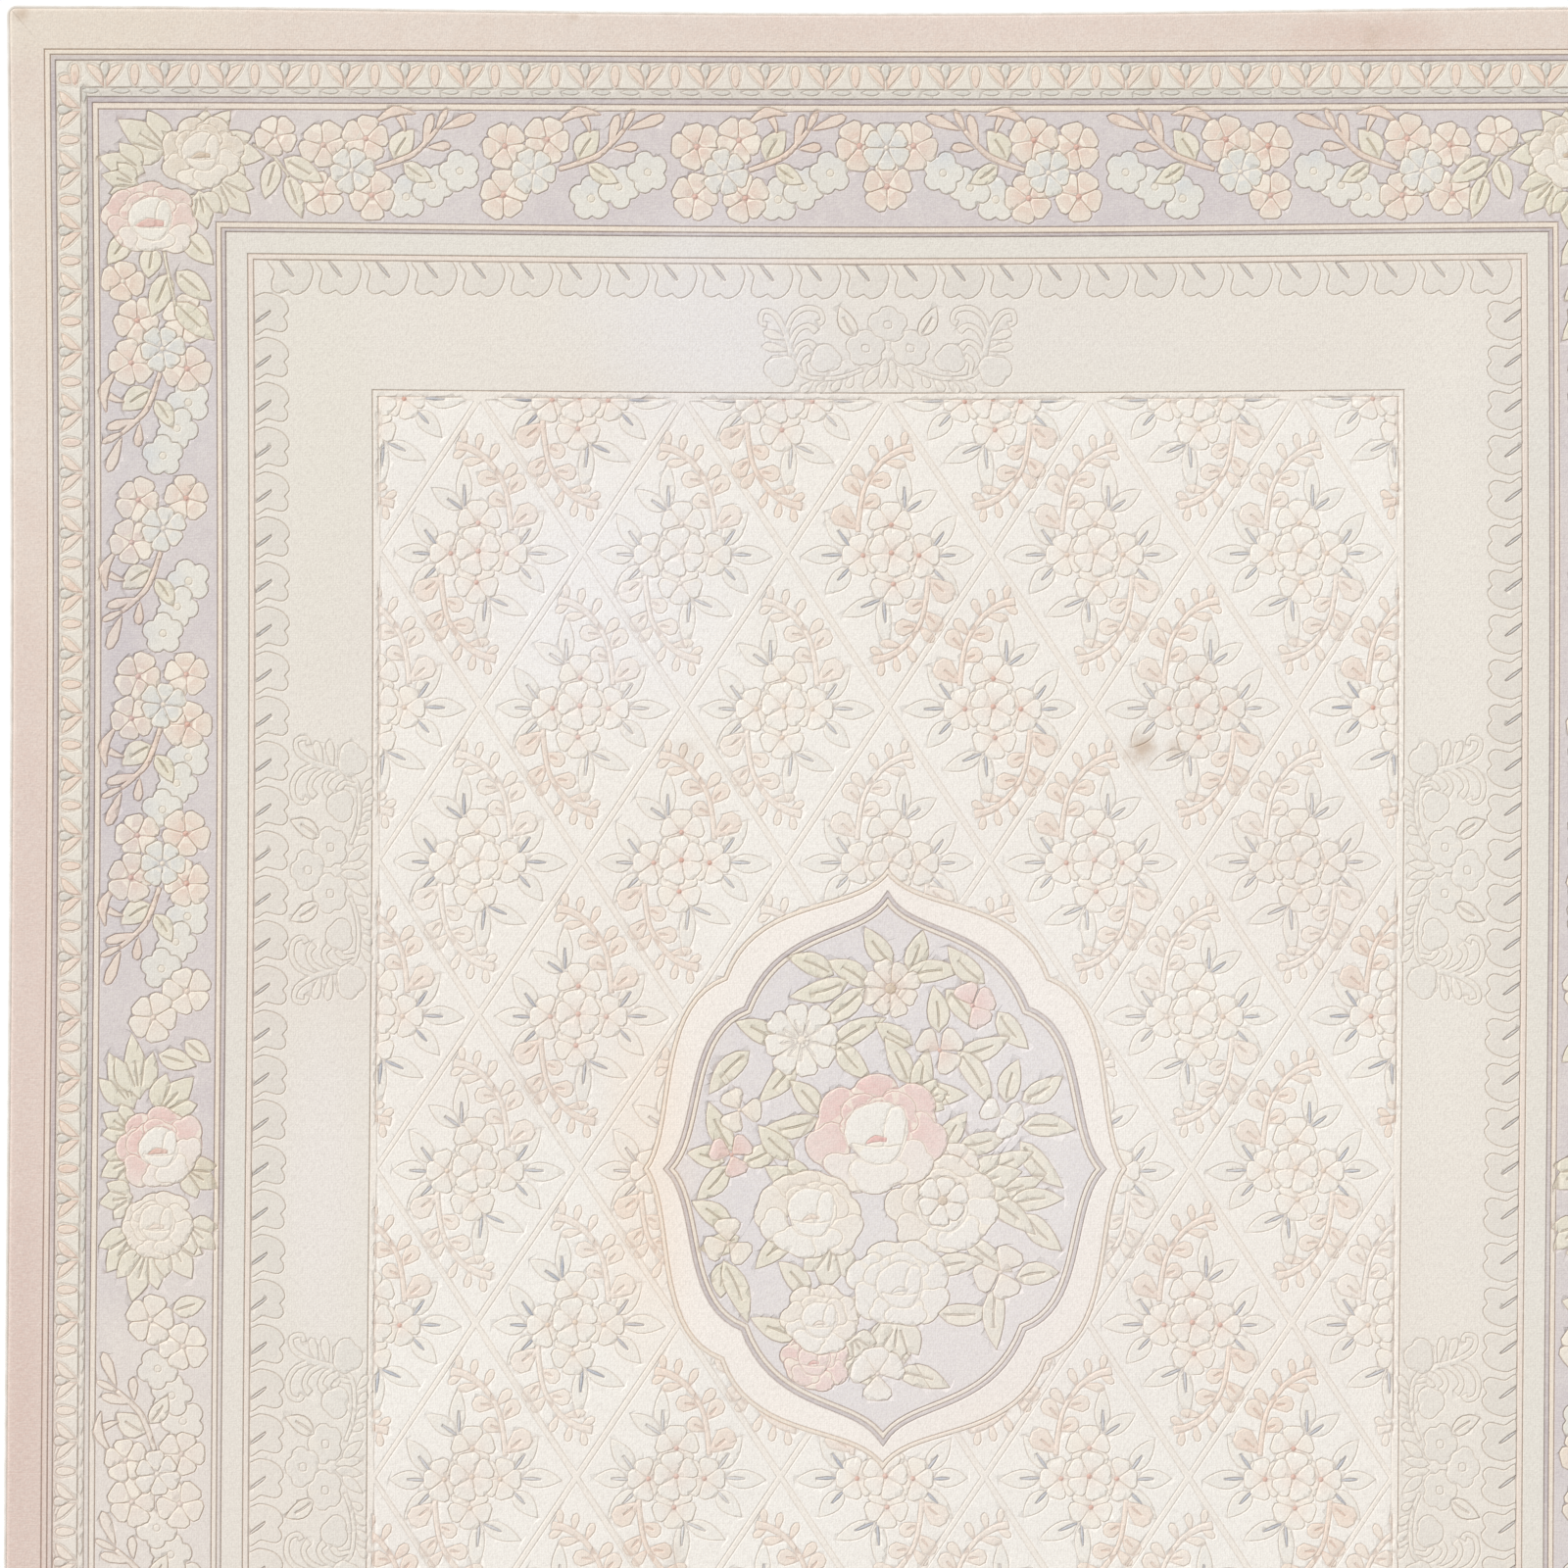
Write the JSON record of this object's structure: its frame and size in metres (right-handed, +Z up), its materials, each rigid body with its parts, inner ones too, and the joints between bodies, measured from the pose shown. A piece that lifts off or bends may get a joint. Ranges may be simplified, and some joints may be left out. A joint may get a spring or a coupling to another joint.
{
  "type": "carved pile rug",
  "caption": "Large flat hand-knotted wool rug with a carved floral pile, diamond lattice field, centre medallion and cord-bound edge.",
  "frame": {"origin": "middle of the rug's footprint, on the surface it lies on", "axes": "+Z up through the pile, +Y along the rug's length, +X across its width"},
  "size_m": [2.7528, 3.63, 0.014],
  "materials": {
    "wool_pile": "sheared matt wool pile in pastel colours, soft nap",
    "overcast_yarn": "pale grey wool yarn wound over the edge warps",
    "woven_back": "undyed cotton foundation with the knots showing through"
  },
  "bodies": {
    "root": {"knotted_rug": "wool_pile", "side_cord_left": "overcast_yarn", "side_cord_right": "overcast_yarn", "end_cord_far": "overcast_yarn", "end_cord_near": "overcast_yarn"}
  },
  "joints": []
}
